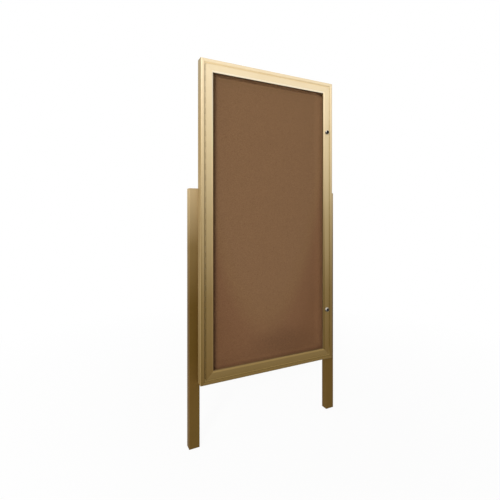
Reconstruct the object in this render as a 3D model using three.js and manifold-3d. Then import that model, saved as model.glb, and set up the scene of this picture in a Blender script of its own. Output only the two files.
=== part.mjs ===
// A lockable notice board on two posts. The case is four mitred aluminium rails around a tack board, and
// a glazed door of four mitred rails swings on a continuous hinge at its left and locks at its right.
// Millimetres, +Z up, front towards -Y. The origin is on the ground, midway between the two posts.
import * as THREE from "three";
import { mergeVertices } from "three/addons/utils/BufferGeometryUtils.js";
import Module from "manifold-3d";

const wasm = await Module();
wasm.setup();

// Overall sizes
const caseWidth = 762;
const caseHeight = 1524;
const caseDepth = 46;
const groundClearance = 305; // from the ground to the underside of the case

// Fits
const seat = 0.3; // gap left where one piece sits on another
const mitreGap = 0.15; // cut back from each mitred end
const overrun = 5; // how far a cutter runs past what it cuts

// Case rail section: u runs inwards from the outer side, v runs back from the nose
const caseWall = 2;
const noseWidth = 18.7;
const noseOuterRadius = 8;
const noseInnerRadius = 5;
const landingDepth = 21; // the face that the door seal lies on
const landingReach = 30.4;
const landingThickness = 2;
const boardStopThickness = 1.5;
const boardStopReach = 14;
const rearFlangeThickness = 2.7;
const rearFlangeReach = 40;
const weepLength = 14;
const weepWidth = 4;
const weepInset = 150; // from each end of the bottom rail to the middle of a weep slot

// Tack board, from the front
const boardMargin = 1; // between the board's edge and the wall of the rail
const corkThickness = 5;
const backerThickness = 6.4;
const backPanelThickness = 1.5;

// Door rail section, measured the same way from the door's own outer edge and face
const doorReveal = 5.6; // gap between case nose and door
const doorRecess = 1; // door face behind the crown of the nose
const doorThickness = 17;
const doorWall = 2;
const doorEdgeRadius = 2.5;
const doorFaceWidth = 28.7;
const bevelWidth = 7;
const bevelDrop = 4.5;
const glazingLipThickness = 1.7;
const glazingChannelWidth = 6;
const glazingChannelDepth = 9;
const rearLipThickness = 1.5;
const rearLipSetback = 2; // rear glazing lip ends this far short of the front one
const rearChamfer = 3.2;

// Glazing
const paneThickness = 3;
const paneCover = 6.7; // how far the pane reaches behind the front lip
const gasketLeg = 1;
const gasketClearance = 0.2;
const gasketSight = 3; // black line that shows beyond the front lip
const gasketBase = 1.4;

// Door seal
const sealWidth = 8.4;
const sealHeight = 2.6;
const sealOffset = 1.5; // from the reveal wall
const sealGap = 0.1;

// Corner keys
const keyLeg = 60;
const keyClearance = 0.3;
const keyChamfer = 3;

// Continuous hinge
const hingePinRadius = 1.2;
const hingeBoreRadius = 1.5;
const hingeLeafThickness = 1;
const hingeLeafWidth = 13.4; // from the pin's axis to the leaf's free edge
const hingeAxisDepth = 2.6;
const hingeEndInset = 7.7; // from the door's end to the hinge's end
const knucklePitch = 25.4;
const knuckleGap = 0.8;
const knuckleRelief = 0.4; // around the other leaf's knuckles

// Locks
const lockSetIn = 16; // from the door's outer edge to the lock's axis
const lockFromEnd = 274; // from the case's end to the lock's axis
const lockHeadRadius = 11.5;
const lockHeadFrontRadius = 10.6;
const lockHeadHeight = 9;
const lockHeadRound = 1.2;
const lockRecessRadius = 8.4;
const lockRecessDepth = 2.4;
const lockBarrelRadius = 8;
const lockBarrelPast = 4.4; // barrel end behind the door's back
const lockHoleClearance = 0.3;
const plugRadius = 6.2;
const plugBoreRadius = 6.6;
const plugSunk = 1.2; // plug face below the rim of the head
const plugCollar = 0.9; // plug end behind the barrel's end
const keywayWidth = 2.2;
const keywayHeight = 8;
const keywayDepth = 12;
const camDriveSize = 6.4;
const camThickness = 2.5;
const camHubRadius = 7;
const camArmWidth = 10;
const camReach = 20;
const camScrewHeadRadius = 4.5;
const camScrewHeadHeight = 1.8;
const camScrewRadius = 1.5;
const camScrewLength = 6;
const camScrewSlotWidth = 1.2;
const camScrewSlotDepth = 0.8;
const lockNutAcross = 19;
const lockNutThickness = 2.6;

// Posts
const postWidth = 50.8; // along the case
const postDepth = 38.1;
const postWall = 3;
const postLength = 1219;
const postCornerRadius = 2.5;
const postOverhang = 42; // how far each post stands out past the case's side
const capThickness = 5;
const capChamfer = 1.5;
const capSpigotLength = 20;
const capSpigotWall = 3;

// Brackets that carry the case on the posts
const bracketThickness = 4;
const bracketPostLeg = 34;
const bracketCaseLeg = 34;
const bracketLength = 60;
const bracketFromPostTop = 70; // post top to the middle of the upper bracket
const bracketFromCaseBottom = 70; // case underside to the middle of the lower bracket
const bracketBendRadius = 3;
const postBoltRadius = 4;
const postBoltHeadAcross = 13;
const postBoltHeadHeight = 5.3;
const postBoltLength = 18;
const caseBoltRadius = 3;
const caseBoltHeadAcross = 10;
const caseBoltHeadHeight = 4;
const caseBoltFromLegRoot = 8.6; // clear face of the bracket's bend to the bolt's axis
const boltHoleClearance = 0.3;

// Facet counts
const arcSteps = 4;
const roundSides = 24;
const smallSides = 16;
const hexSides = 6;

// Worked out from the sizes above
const quarter = Math.PI / 2;
const caseLeft = -caseWidth / 2;
const caseRight = caseWidth / 2;
const caseBottom = groundClearance;
const caseTop = groundClearance + caseHeight;
const caseBack = -postDepth / 2 - seat;
const caseFront = caseBack - caseDepth;
const boardStack = corkThickness + backerThickness + backPanelThickness;
const boardStopDepth = caseDepth - rearFlangeThickness - boardStack - 4 * seat - boardStopThickness;
const doorInset = noseWidth + doorReveal;
const doorWidth = caseWidth - 2 * doorInset;
const doorHeight = caseHeight - 2 * doorInset;
const doorLeft = caseLeft + doorInset;
const doorRight = caseRight - doorInset;
const doorBottom = caseBottom + doorInset;
const doorTop = caseTop - doorInset;
const doorFront = caseFront + doorRecess;
const doorBack = doorFront + doorThickness;
const sightWidth = doorFaceWidth + bevelWidth;
const channelFront = bevelDrop + glazingLipThickness;
const channelBack = channelFront + glazingChannelWidth;
const channelFloor = sightWidth - glazingChannelDepth;
const hingeX = caseLeft + noseWidth + doorReveal / 2;
const hingeY = caseFront + hingeAxisDepth;
const knuckleRadius = doorReveal / 2 - seat;

const gold = new THREE.MeshStandardMaterial({ color: 0xb49d73, roughness: 0.36, metalness: 0.9 });
const postGold = new THREE.MeshStandardMaterial({ color: 0x7a6338, roughness: 0.4, metalness: 0.9 });
const hingeMetal = new THREE.MeshStandardMaterial({ color: 0xa48d63, roughness: 0.35, metalness: 0.9 });
const chrome = new THREE.MeshStandardMaterial({ color: 0xb9b6b0, roughness: 0.18, metalness: 1 });
const plugMetal = new THREE.MeshStandardMaterial({ color: 0x3a3632, roughness: 0.35, metalness: 0.9 });
const steel = new THREE.MeshStandardMaterial({ color: 0x9a9b9c, roughness: 0.35, metalness: 1 });
const castKey = new THREE.MeshStandardMaterial({ color: 0x8f9193, roughness: 0.5, metalness: 0.9 });
const panelMetal = new THREE.MeshStandardMaterial({ color: 0xa89a7c, roughness: 0.45, metalness: 0.8 });
const cork = new THREE.MeshStandardMaterial({ color: 0x7e5f43, roughness: 0.9, metalness: 0 });
const fibreboard = new THREE.MeshStandardMaterial({ color: 0x6b5a45, roughness: 0.95, metalness: 0 });
const rubber = new THREE.MeshStandardMaterial({ color: 0x1c1a18, roughness: 0.7, metalness: 0 });
const clear = new THREE.MeshStandardMaterial({
  color: 0xe9f0ee,
  roughness: 0.03,
  metalness: 0,
  transparent: true,
  opacity: 0.2,
});

const board = new THREE.Group();

function put(name, geometry, material, x, y, z, turnY) {
  const mesh = new THREE.Mesh(geometry, material);
  mesh.name = name;
  mesh.position.set(x, y, z);
  mesh.rotation.y = turnY;
  mesh.updateMatrixWorld(true);
  board.add(mesh);
  return mesh;
}

// A mesh, in the part's own frame, as a solid that can be cut and joined
function solidOf(mesh) {
  const shell = mesh.geometry.clone().applyMatrix4(mesh.matrixWorld);
  shell.deleteAttribute("normal");
  shell.deleteAttribute("uv");
  const merged = mergeVertices(shell);
  return new wasm.Manifold(
    new wasm.Mesh({
      numProp: 3,
      vertProperties: merged.attributes.position.array,
      triVerts: new Uint32Array(merged.index.array),
    }),
  );
}

function geometryOf(solid) {
  const shell = solid.getMesh();
  const geometry = new THREE.BufferGeometry();
  geometry.setAttribute("position", new THREE.BufferAttribute(shell.vertProperties, 3));
  geometry.setIndex(new THREE.BufferAttribute(shell.triVerts, 1));
  geometry.computeVertexNormals();
  return geometry;
}

function replaceShape(mesh, solid) {
  mesh.geometry = geometryOf(solid).applyMatrix4(mesh.matrixWorld.clone().invert());
}

function cutAway(mesh, cutters) {
  const cut = cutters.reduce((rest, cutter) => rest.subtract(solidOf(cutter)), solidOf(mesh));
  replaceShape(mesh, cut);
}

function joinOn(mesh, additions) {
  const joined = additions.reduce((whole, extra) => whole.add(solidOf(extra)), solidOf(mesh));
  replaceShape(mesh, joined);
}

// A loose mesh for cutting or joining, placed in the part's own frame
function loose(geometry, x, y, z) {
  const mesh = new THREE.Mesh(geometry);
  mesh.position.set(x, y, z);
  mesh.updateMatrixWorld(true);
  return mesh;
}

function extrude(shape, length, curveSegments = arcSteps) {
  return new THREE.ExtrudeGeometry(shape, {
    depth: length,
    steps: 1,
    bevelEnabled: false,
    curveSegments,
  });
}

function rectangle(left, low, width, height) {
  const shape = new THREE.Shape();
  shape.moveTo(left, low);
  shape.lineTo(left + width, low);
  shape.lineTo(left + width, low + height);
  shape.lineTo(left, low + height);
  shape.closePath();
  return shape;
}

function postOutline() {
  const farX = postWidth / 2 - postCornerRadius;
  const farY = postDepth / 2 - postCornerRadius;
  const shape = new THREE.Shape();
  shape.absarc(farX, farY, postCornerRadius, 0, quarter, false);
  shape.absarc(-farX, farY, postCornerRadius, quarter, 2 * quarter, false);
  shape.absarc(-farX, -farY, postCornerRadius, 2 * quarter, 3 * quarter, false);
  shape.absarc(farX, -farY, postCornerRadius, 3 * quarter, 4 * quarter, false);
  shape.closePath();
  return shape;
}

// A rectangle as far inside the post's outer faces as the inset
function postInset(inset) {
  const width = postWidth - 2 * inset;
  const depth = postDepth - 2 * inset;
  return rectangle(-width / 2, -depth / 2, width, depth);
}

function hexagon(across) {
  const shape = new THREE.Shape();
  for (let side = 0; side < hexSides; side += 1) {
    const angle = ((side + 0.5) * 2 * Math.PI) / hexSides;
    const corner = across / 2 / Math.cos(Math.PI / hexSides);
    const point = [corner * Math.cos(angle), corner * Math.sin(angle)];
    if (side === 0) shape.moveTo(...point);
    else shape.lineTo(...point);
  }
  shape.closePath();
  return shape;
}

// A rail whose section is drawn as (inwards, back) and whose ends are cut to 45 degrees
function mitredRail(section, length) {
  const geometry = extrude(section, length);
  const at = geometry.attributes.position;
  for (let i = 0; i < at.count; i += 1) {
    const cut = at.getX(i) + mitreGap;
    at.setZ(i, at.getZ(i) > length / 2 ? length - cut : cut);
  }
  geometry.computeVertexNormals();
  return geometry;
}

// Four mitred rails round a rectangle, from its lower left corner. Each section faces the middle.
function mitredFrame(names, section, width, height, left, front, low, material) {
  return {
    left: put(names.left, mitredRail(section, height), material, left, front, low, 0),
    top: put(names.top, mitredRail(section, width), material, left, front, low + height, quarter),
    right: put(
      names.right,
      mitredRail(section, height),
      material,
      left + width,
      front,
      low + height,
      2 * quarter,
    ),
    bottom: put(
      names.bottom,
      mitredRail(section, width),
      material,
      left + width,
      front,
      low,
      3 * quarter,
    ),
  };
}

function caseSection() {
  const section = new THREE.Shape();
  const webBack = landingDepth + landingThickness;
  section.moveTo(0, caseDepth);
  section.lineTo(0, noseOuterRadius);
  section.absarc(noseOuterRadius, noseOuterRadius, noseOuterRadius, 2 * quarter, 3 * quarter, false);
  section.lineTo(noseWidth - noseInnerRadius, 0);
  section.absarc(
    noseWidth - noseInnerRadius,
    noseInnerRadius,
    noseInnerRadius,
    3 * quarter,
    4 * quarter,
    false,
  );
  section.lineTo(noseWidth, landingDepth);
  section.lineTo(landingReach, landingDepth);
  section.lineTo(landingReach, webBack);
  section.lineTo(caseWall, webBack);
  section.lineTo(caseWall, boardStopDepth);
  section.lineTo(boardStopReach, boardStopDepth);
  section.lineTo(boardStopReach, boardStopDepth + boardStopThickness);
  section.lineTo(caseWall, boardStopDepth + boardStopThickness);
  section.lineTo(caseWall, caseDepth - rearFlangeThickness);
  section.lineTo(rearFlangeReach, caseDepth - rearFlangeThickness);
  section.lineTo(rearFlangeReach, caseDepth);
  section.closePath();

  const outer = noseOuterRadius - caseWall;
  const inner = noseInnerRadius - caseWall;
  const chamber = new THREE.Path();
  chamber.moveTo(caseWall, landingDepth);
  chamber.lineTo(noseWidth - caseWall, landingDepth);
  chamber.lineTo(noseWidth - caseWall, noseInnerRadius);
  chamber.absarc(noseWidth - noseInnerRadius, noseInnerRadius, inner, 0, -quarter, true);
  chamber.lineTo(noseOuterRadius, caseWall);
  chamber.absarc(noseOuterRadius, noseOuterRadius, outer, 3 * quarter, 2 * quarter, true);
  chamber.closePath();
  section.holes.push(chamber);
  return section;
}

function doorSection() {
  const section = new THREE.Shape();
  const rearLip = sightWidth - rearLipSetback;
  section.moveTo(0, doorThickness);
  section.lineTo(0, doorEdgeRadius);
  section.absarc(doorEdgeRadius, doorEdgeRadius, doorEdgeRadius, 2 * quarter, 3 * quarter, false);
  section.lineTo(doorFaceWidth, 0);
  section.lineTo(sightWidth, bevelDrop);
  section.lineTo(sightWidth, channelFront);
  section.lineTo(channelFloor, channelFront);
  section.lineTo(channelFloor, channelBack);
  section.lineTo(rearLip, channelBack);
  section.lineTo(rearLip, channelBack + rearLipThickness);
  section.lineTo(rearLip - rearChamfer, doorThickness);
  section.closePath();
  const chamberWidth = channelFloor - 2 * doorWall;
  section.holes.push(rectangle(doorWall, doorWall, chamberWidth, doorThickness - 2 * doorWall));
  return section;
}

function sealSection() {
  const start = noseWidth + sealOffset;
  const flat = landingDepth - sealGap;
  const crown = flat - sealHeight;
  const round = sealHeight / 2;
  const section = new THREE.Shape();
  section.moveTo(start, flat);
  section.lineTo(start, crown + round);
  section.absarc(start + round, crown + round, round, 2 * quarter, 3 * quarter, false);
  section.lineTo(start + sealWidth - round, crown);
  section.absarc(start + sealWidth - round, crown + round, round, 3 * quarter, 4 * quarter, false);
  section.lineTo(start + sealWidth, flat);
  section.closePath();
  return section;
}

// A U that wraps the pane's edge and fills the glazing channel
function gasketSection() {
  const front = channelFront + seat;
  const back = channelBack - seat;
  const start = channelFloor + seat;
  const base = start + gasketBase;
  const end = sightWidth + gasketSight;
  const section = new THREE.Shape();
  section.moveTo(start, front);
  section.lineTo(end, front);
  section.lineTo(end, front + gasketLeg);
  section.lineTo(base, front + gasketLeg);
  section.lineTo(base, back - gasketLeg);
  section.lineTo(end - rearLipSetback, back - gasketLeg);
  section.lineTo(end - rearLipSetback, back);
  section.lineTo(start, back);
  section.closePath();
  return section;
}

// An L that lies in the hollow of two mitred rails, drawn in its corner and turned to the others
function cornerKey(legWidth) {
  const shape = new THREE.Shape();
  shape.moveTo(0, 0);
  shape.lineTo(keyLeg, 0);
  shape.lineTo(keyLeg, legWidth - keyChamfer);
  shape.lineTo(keyLeg - keyChamfer, legWidth);
  shape.lineTo(legWidth, legWidth);
  shape.lineTo(legWidth, keyLeg - keyChamfer);
  shape.lineTo(legWidth - keyChamfer, keyLeg);
  shape.lineTo(0, keyLeg);
  shape.closePath();
  return shape;
}

function cornerKeys(prefix, inset, legWidth, front, depth, left, low, width, height) {
  const corners = [
    ["lower_left", left + inset, low + inset, 0],
    ["upper_left", left + inset, low + height - inset, quarter],
    ["upper_right", left + width - inset, low + height - inset, 2 * quarter],
    ["lower_right", left + width - inset, low + inset, 3 * quarter],
  ];
  for (const [corner, x, z, turn] of corners) {
    const flat = extrude(cornerKey(legWidth), depth);
    flat.rotateX(quarter); // the key's plane becomes upright and its thickness runs to the front
    put(`${prefix}_corner_key_${corner}`, flat, castKey, x, front + depth, z, turn);
  }
}

function makeCase() {
  const names = {
    left: "case_hinge_jamb",
    top: "case_top_rail",
    right: "case_lock_jamb",
    bottom: "case_bottom_rail",
  };
  const rails = mitredFrame(
    names,
    caseSection(),
    caseWidth,
    caseHeight,
    caseLeft,
    caseFront,
    caseBottom,
    gold,
  );

  // Weep slots through the underside, behind the tack board's stop
  const weepY = caseFront + boardStopDepth + boardStopThickness + corkThickness;
  const weeps = [-1, 0, 1].map((side) => {
    const slot = new THREE.BoxGeometry(weepLength, weepWidth, 2 * overrun);
    return loose(slot, side * (caseWidth / 2 - weepInset), weepY, caseBottom);
  });
  cutAway(rails.bottom, weeps);

  const keyInset = caseWall + keyClearance;
  const keyWidth = noseWidth - 2 * keyInset;
  const keyFront = caseFront + noseOuterRadius + keyClearance;
  const keyDepth = landingDepth - noseOuterRadius - 2 * keyClearance;
  cornerKeys(
    "case",
    keyInset,
    keyWidth,
    keyFront,
    keyDepth,
    caseLeft,
    caseBottom,
    caseWidth,
    caseHeight,
  );

  const sealNames = {
    left: "door_seal_left",
    top: "door_seal_top",
    right: "door_seal_right",
    bottom: "door_seal_bottom",
  };
  mitredFrame(
    sealNames,
    sealSection(),
    caseWidth,
    caseHeight,
    caseLeft,
    caseFront,
    caseBottom,
    rubber,
  );
  return rails;
}

function makeBoard() {
  const width = caseWidth - 2 * (caseWall + boardMargin);
  const height = caseHeight - 2 * (caseWall + boardMargin);
  const middle = caseBottom + caseHeight / 2;
  const layers = [
    ["cork_sheet", corkThickness, cork],
    ["backer_board", backerThickness, fibreboard],
    ["back_panel", backPanelThickness, panelMetal],
  ];
  let front = caseFront + boardStopDepth + boardStopThickness + seat;
  for (const [name, thickness, material] of layers) {
    const sheet = new THREE.BoxGeometry(width, thickness, height);
    put(name, sheet, material, 0, front + thickness / 2, middle, 0);
    front += thickness + seat;
  }
}

function lockPlaces() {
  return [
    ["upper", doorRight - lockSetIn, caseTop - lockFromEnd],
    ["lower", doorRight - lockSetIn, caseBottom + lockFromEnd],
  ];
}

function makeDoor() {
  const names = {
    left: "door_hinge_stile",
    top: "door_top_rail",
    right: "door_lock_stile",
    bottom: "door_bottom_rail",
  };
  const rails = mitredFrame(
    names,
    doorSection(),
    doorWidth,
    doorHeight,
    doorLeft,
    doorFront,
    doorBottom,
    gold,
  );
  const holeRadius = lockBarrelRadius + lockHoleClearance;
  const holes = lockPlaces().map(([, x, z]) => {
    const drill = new THREE.CylinderGeometry(
      holeRadius,
      holeRadius,
      doorThickness + 2 * overrun,
      roundSides,
    );
    return loose(drill, x, doorFront + doorThickness / 2, z);
  });
  cutAway(rails.right, holes);

  const keyInset = doorWall + keyClearance;
  const keyWidth = channelFloor - 2 * keyInset;
  const keyDepth = doorThickness - 2 * keyInset;
  cornerKeys(
    "door",
    keyInset,
    keyWidth,
    doorFront + keyInset,
    keyDepth,
    doorLeft,
    doorBottom,
    doorWidth,
    doorHeight,
  );

  const paneInset = sightWidth - paneCover;
  const pane = new THREE.BoxGeometry(
    doorWidth - 2 * paneInset,
    paneThickness,
    doorHeight - 2 * paneInset,
  );
  const paneMiddle = doorFront + (channelFront + channelBack) / 2;
  put("window_pane", pane, clear, 0, paneMiddle, caseBottom + caseHeight / 2, 0);

  const gasketNames = {
    left: "glazing_gasket_left",
    top: "glazing_gasket_top",
    right: "glazing_gasket_right",
    bottom: "glazing_gasket_bottom",
  };
  mitredFrame(
    gasketNames,
    gasketSection(),
    doorWidth,
    doorHeight,
    doorLeft,
    doorFront,
    doorBottom,
    rubber,
  );
}

// One knuckle with its tab, as a section about the pin's axis. The tab lies at the side that hand names.
function knuckleSection(hand) {
  const tabInner = knuckleRadius - hingeLeafThickness;
  const tabEnd = knuckleRadius + knuckleRelief + hingeLeafThickness;
  const meet = Math.acos(tabInner / knuckleRadius);
  const section = new THREE.Shape();
  section.moveTo(hand * knuckleRadius, tabEnd);
  section.lineTo(hand * knuckleRadius, 0);
  if (hand < 0) section.absarc(0, 0, knuckleRadius, 2 * quarter, 6 * quarter - meet, false);
  else section.absarc(0, 0, knuckleRadius, 0, -4 * quarter + meet, true);
  section.lineTo(hand * tabInner, tabEnd);
  section.closePath();
  const bore = new THREE.Path();
  bore.absarc(0, 0, hingeBoreRadius, 0, 4 * quarter, false);
  section.holes.push(bore);
  return section;
}

function makeHinge() {
  const low = doorBottom + hingeEndInset;
  const length = doorHeight - 2 * hingeEndInset;
  const knuckles = 2 * Math.floor(length / knucklePitch / 2) + 1; // odd, so the case leaf has both ends
  const pitch = length / knuckles;
  const leaves = [
    ["hinge_case_leaf", -1, 0],
    ["hinge_door_leaf", 1, 1],
  ];
  for (const [name, hand, first] of leaves) {
    const plateStart = knuckleRadius + knuckleRelief;
    const plateLeft = hand < 0 ? -knuckleRadius : knuckleRadius - hingeLeafThickness;
    const plate = rectangle(
      plateLeft,
      plateStart,
      hingeLeafThickness,
      hingeLeafWidth - plateStart,
    );
    const leaf = put(name, extrude(plate, length), hingeMetal, hingeX, hingeY, low, 0);
    const rolled = [];
    for (let k = first; k < knuckles; k += 2) {
      const start = k === 0 ? 0 : k * pitch + knuckleGap / 2;
      const end = k === knuckles - 1 ? length : (k + 1) * pitch - knuckleGap / 2;
      const knuckle = extrude(knuckleSection(hand), end - start);
      rolled.push(loose(knuckle, hingeX, hingeY, low + start));
    }
    joinOn(leaf, rolled);
  }
  const pin = new THREE.CylinderGeometry(hingePinRadius, hingePinRadius, length, smallSides);
  pin.rotateX(quarter);
  put("hinge_pin", pin, steel, hingeX, hingeY, low + length / 2, 0);
}

// A turned ring about the lock's axis, drawn as (radius, distance behind the door face)
function turnedRing(points) {
  const profile = points.map(([radius, back]) => new THREE.Vector2(radius, back));
  return new THREE.LatheGeometry([...profile, profile[0].clone()], roundSides);
}

function makeLocks() {
  const rim = -lockHeadHeight;
  const barrelEnd = doorThickness + lockBarrelPast;
  const plugFace = rim + plugSunk;
  const plugEnd = barrelEnd + plugCollar;
  const camFront = plugEnd + seat;
  const camBack = camFront + camThickness;
  const screwFront = camBack + gasketClearance;
  for (const [which, x, z] of lockPlaces()) {
    const housing = turnedRing([
      [plugBoreRadius, barrelEnd],
      [plugBoreRadius, rim + lockRecessDepth],
      [lockRecessRadius, rim + lockRecessDepth],
      [lockRecessRadius, rim],
      [lockHeadFrontRadius - lockHeadRound, rim],
      [lockHeadFrontRadius, rim + lockHeadRound],
      [lockHeadRadius, -seat],
      [lockBarrelRadius, -seat],
      [lockBarrelRadius, barrelEnd],
    ]);
    put(`${which}_lock_housing`, housing, chrome, x, doorFront, z, 0);

    const plug = put(
      `${which}_lock_plug`,
      new THREE.CylinderGeometry(plugRadius, plugRadius, plugEnd - plugFace, roundSides),
      plugMetal,
      x,
      doorFront + (plugFace + plugEnd) / 2,
      z,
      0,
    );
    const tail = new THREE.BoxGeometry(camDriveSize, camBack - plugFace - keywayDepth, camDriveSize);
    const tailMiddle = doorFront + (plugFace + keywayDepth + camBack) / 2;
    joinOn(plug, [loose(tail, x, tailMiddle, z)]);
    const keyway = new THREE.BoxGeometry(keywayWidth, 2 * keywayDepth, keywayHeight);
    const tapping = new THREE.CylinderGeometry(
      camScrewRadius + lockHoleClearance,
      camScrewRadius + lockHoleClearance,
      2 * (camScrewLength + lockHoleClearance),
      smallSides,
    );
    cutAway(plug, [
      loose(keyway, x, doorFront + plugFace, z),
      loose(tapping, x, doorFront + camBack, z),
    ]);

    put(`${which}_lock_cam`, camPlate(), steel, x, doorFront + camBack, z, 0);

    const headBack = screwFront + camScrewHeadHeight;
    const screwHead = new THREE.CylinderGeometry(
      camScrewHeadRadius - camScrewHeadHeight / 2,
      camScrewHeadRadius,
      camScrewHeadHeight,
      smallSides,
    );
    const headMiddle = doorFront + screwFront + camScrewHeadHeight / 2;
    const screw = put(`${which}_cam_screw`, screwHead, steel, x, headMiddle, z, 0);
    const thread = new THREE.CylinderGeometry(
      camScrewRadius,
      camScrewRadius,
      camScrewLength + camScrewHeadHeight / 2,
      smallSides,
    );
    const threadMiddle = headMiddle - camScrewLength / 2 - camScrewHeadHeight / 4;
    joinOn(screw, [loose(thread, x, threadMiddle, z)]);
    const slot = new THREE.BoxGeometry(
      2 * camScrewHeadRadius + overrun,
      2 * camScrewSlotDepth,
      camScrewSlotWidth,
    );
    cutAway(screw, [loose(slot, x, doorFront + headBack, z)]);

    const nutShape = hexagon(lockNutAcross);
    const bore = new THREE.Path();
    bore.absarc(0, 0, lockBarrelRadius + lockHoleClearance, 0, 4 * quarter, false);
    nutShape.holes.push(bore);
    const nut = extrude(nutShape, lockNutThickness, roundSides / 2);
    nut.rotateX(quarter);
    put(`${which}_lock_nut`, nut, steel, x, doorBack + seat + lockNutThickness, z, 0);
  }
}

// The cam hangs straight down when unlocked, and its plane is upright
function camPlate() {
  const half = camArmWidth / 2;
  const tip = camReach - half;
  const meet = Math.acos(half / camHubRadius);
  const shape = new THREE.Shape();
  shape.absarc(0, -tip, half, 2 * quarter, 4 * quarter, false);
  shape.absarc(0, 0, camHubRadius, -meet, 2 * quarter + meet, false);
  shape.closePath();
  const drive = camDriveSize + 2 * lockHoleClearance;
  shape.holes.push(rectangle(-drive / 2, -drive / 2, drive, drive));
  const plate = extrude(shape, camThickness);
  plate.rotateX(quarter);
  return plate;
}

function makePosts(caseRails) {
  const bracketHeights = {
    upper: postLength - bracketFromPostTop,
    lower: caseBottom + bracketFromCaseBottom,
  };
  for (const [side, hand] of [
    ["left", -1],
    ["right", 1],
  ]) {
    const postX = hand * (caseWidth / 2 + postOverhang - postWidth / 2);
    const tube = postOutline();
    tube.holes.push(postInset(postWall));
    const post = put(`${side}_post`, extrude(tube, postLength), postGold, postX, 0, 0, 0);

    const cap = put(`${side}_post_cap`, capPlate(), postGold, postX, 0, postLength + seat, 0);
    const spigotShape = postInset(postWall + seat);
    spigotShape.holes.push(postInset(postWall + seat + capSpigotWall));
    const spigot = extrude(spigotShape, capSpigotLength + seat + capChamfer);
    joinOn(cap, [loose(spigot, postX, 0, postLength - capSpigotLength)]);

    const boltHoles = Object.entries(bracketHeights).map(([level, z]) =>
      makeBracket(`${level}_${side}`, hand, z, caseRails[side]),
    );
    cutAway(post, boltHoles);
  }
}

// The post's outline with a chamfer round its upper edge
function capPlate() {
  const plate = new THREE.ExtrudeGeometry(postOutline(), {
    depth: capThickness,
    steps: 2,
    bevelEnabled: false,
    curveSegments: arcSteps,
  });
  const at = plate.attributes.position;
  for (let i = 0; i < at.count; i += 1) {
    const ring = Math.round((2 * at.getZ(i)) / capThickness);
    if (ring === 1) at.setZ(i, capThickness - capChamfer);
    if (ring < 2) continue;
    at.setX(i, at.getX(i) * (1 - (2 * capChamfer) / postWidth));
    at.setY(i, at.getY(i) * (1 - (2 * capChamfer) / postDepth));
  }
  return plate;
}

// An angle bracket between a post's inner face and the back of the case, with its two bolts.
// It returns the cutter for the bolt hole in the post.
function makeBracket(name, hand, z, jamb) {
  const postInner = caseWidth / 2 + postOverhang - postWidth; // from the middle to the inner face
  const legRoot = bracketThickness + bracketBendRadius;
  const shape = new THREE.Shape(); // drawn as (inwards from the post, back from the case)
  shape.moveTo(0, 0);
  shape.lineTo(-hand * bracketCaseLeg, 0);
  shape.lineTo(-hand * bracketCaseLeg, bracketThickness);
  shape.lineTo(-hand * legRoot, bracketThickness);
  const bendCentre = [-hand * legRoot, legRoot];
  if (hand < 0) shape.absarc(...bendCentre, bracketBendRadius, 3 * quarter, 2 * quarter, true);
  else shape.absarc(...bendCentre, bracketBendRadius, 3 * quarter, 4 * quarter, false);
  shape.lineTo(-hand * bracketThickness, bracketPostLeg);
  shape.lineTo(0, bracketPostLeg);
  shape.closePath();

  const rootX = hand * (postInner - seat);
  const rootY = caseBack + seat;
  const bracket = put(
    `${name}_bracket`,
    extrude(shape, bracketLength),
    castKey,
    rootX,
    rootY,
    z - bracketLength / 2,
    0,
  );

  const postBoltY = rootY + (legRoot + bracketPostLeg) / 2;
  const caseBoltX = rootX - hand * (legRoot + caseBoltFromLegRoot);
  const postHole = acrossHole(postBoltRadius, 2 * postBoltLength);
  const postCutter = loose(postHole, rootX, postBoltY, z);
  const caseHole = alongHole(caseBoltRadius, 2 * (bracketThickness + rearFlangeThickness));
  const caseCutter = loose(caseHole, caseBoltX, rootY, z);
  cutAway(bracket, [postCutter, caseCutter]);
  cutAway(jamb, [caseCutter]);

  const postBolt = hexBolt(postBoltRadius, postBoltHeadAcross, postBoltHeadHeight, postBoltLength);
  postBolt.rotateY(-hand * quarter);
  const headFace = bracketThickness + seat;
  put(`${name}_post_bolt`, postBolt, steel, rootX - hand * headFace, postBoltY, z, 0);

  const caseBoltLength = bracketThickness + 2 * seat + rearFlangeThickness;
  const caseBolt = hexBolt(caseBoltRadius, caseBoltHeadAcross, caseBoltHeadHeight, caseBoltLength);
  caseBolt.rotateX(-quarter);
  put(`${name}_case_bolt`, caseBolt, steel, caseBoltX, rootY + headFace, z, 0);

  return postCutter;
}

function acrossHole(radius, length) {
  const hole = alongHole(radius, length);
  hole.rotateZ(quarter);
  return hole;
}

function alongHole(radius, length) {
  const wide = radius + boltHoleClearance;
  return new THREE.CylinderGeometry(wide, wide, length, smallSides);
}

// A hexagon-headed bolt along z: the head stands on z = 0 and the shank runs down from it
function hexBolt(radius, across, headHeight, length) {
  const head = loose(extrude(hexagon(across), headHeight), 0, 0, 0);
  const shankShape = new THREE.CylinderGeometry(radius, radius, length + headHeight, smallSides);
  shankShape.rotateX(quarter);
  joinOn(head, [loose(shankShape, 0, 0, (headHeight - length) / 2)]);
  return head.geometry;
}

const caseRails = makeCase();
makeBoard();
makeDoor();
makeHinge();
makeLocks();
makePosts({ left: caseRails.left, right: caseRails.right });

export default board;
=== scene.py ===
import math

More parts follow.
